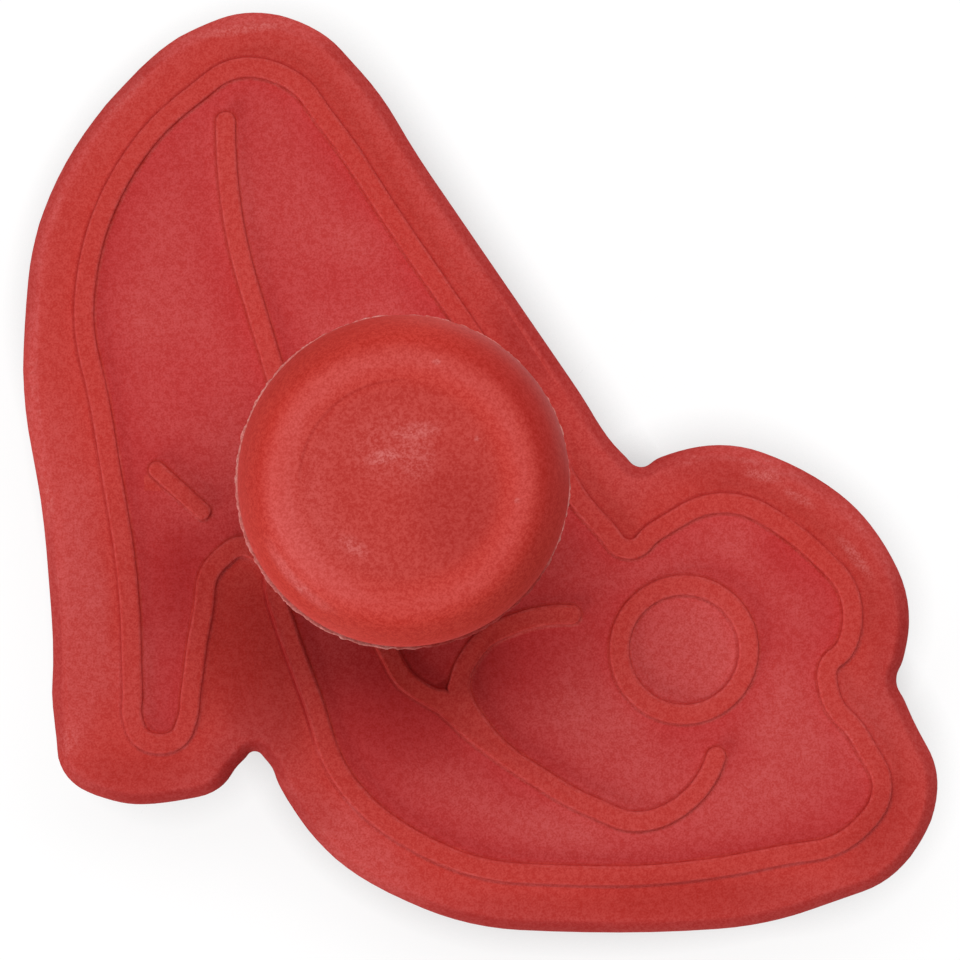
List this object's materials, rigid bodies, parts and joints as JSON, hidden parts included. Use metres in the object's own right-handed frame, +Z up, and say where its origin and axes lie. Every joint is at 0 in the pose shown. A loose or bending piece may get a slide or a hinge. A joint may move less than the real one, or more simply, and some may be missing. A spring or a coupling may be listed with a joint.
{
  "type": "plunger cutter",
  "caption": "Spring-loaded plunger cutter with a shoe-shaped flange, cutting wall and embossing ejector, pressed by a round dished knob.",
  "frame": {"origin": "centre of the flange's outline, on the plane of the cutting edge", "axes": "+Z up along the plunger stroke to the knob, +X from the heel of the motif to its toe, +Y to the top of the motif"},
  "size_m": [0.075, 0.0754, 0.0376],
  "materials": {
    "cutter_red": "fine matte grain, slightly waxy",
    "ejector_red": "fine matte grain",
    "knob_red": "fine matte grain, slightly waxy",
    "spring_steel": "drawn wire, bright",
    "screw_steel": "zinc plated"
  },
  "bodies": {
    "cutter": {"cutter_body": "cutter_red", "return_spring": "spring_steel"},
    "plunger": {"ejector_plate": "ejector_red", "knob_base": "knob_red", "knob_cap": "knob_red", "retaining_screw": "screw_steel", "screw_plug": "ejector_red"}
  },
  "joints": [
    {"name": "plunger_press", "type": "slide", "parent": "cutter", "child": "plunger", "axis": [0, 0, -1], "range_m": [0, 0.008], "stiffness_N_per_m": 400, "springref_m": -0.004, "deforming": ["return_spring"]}
  ]
}
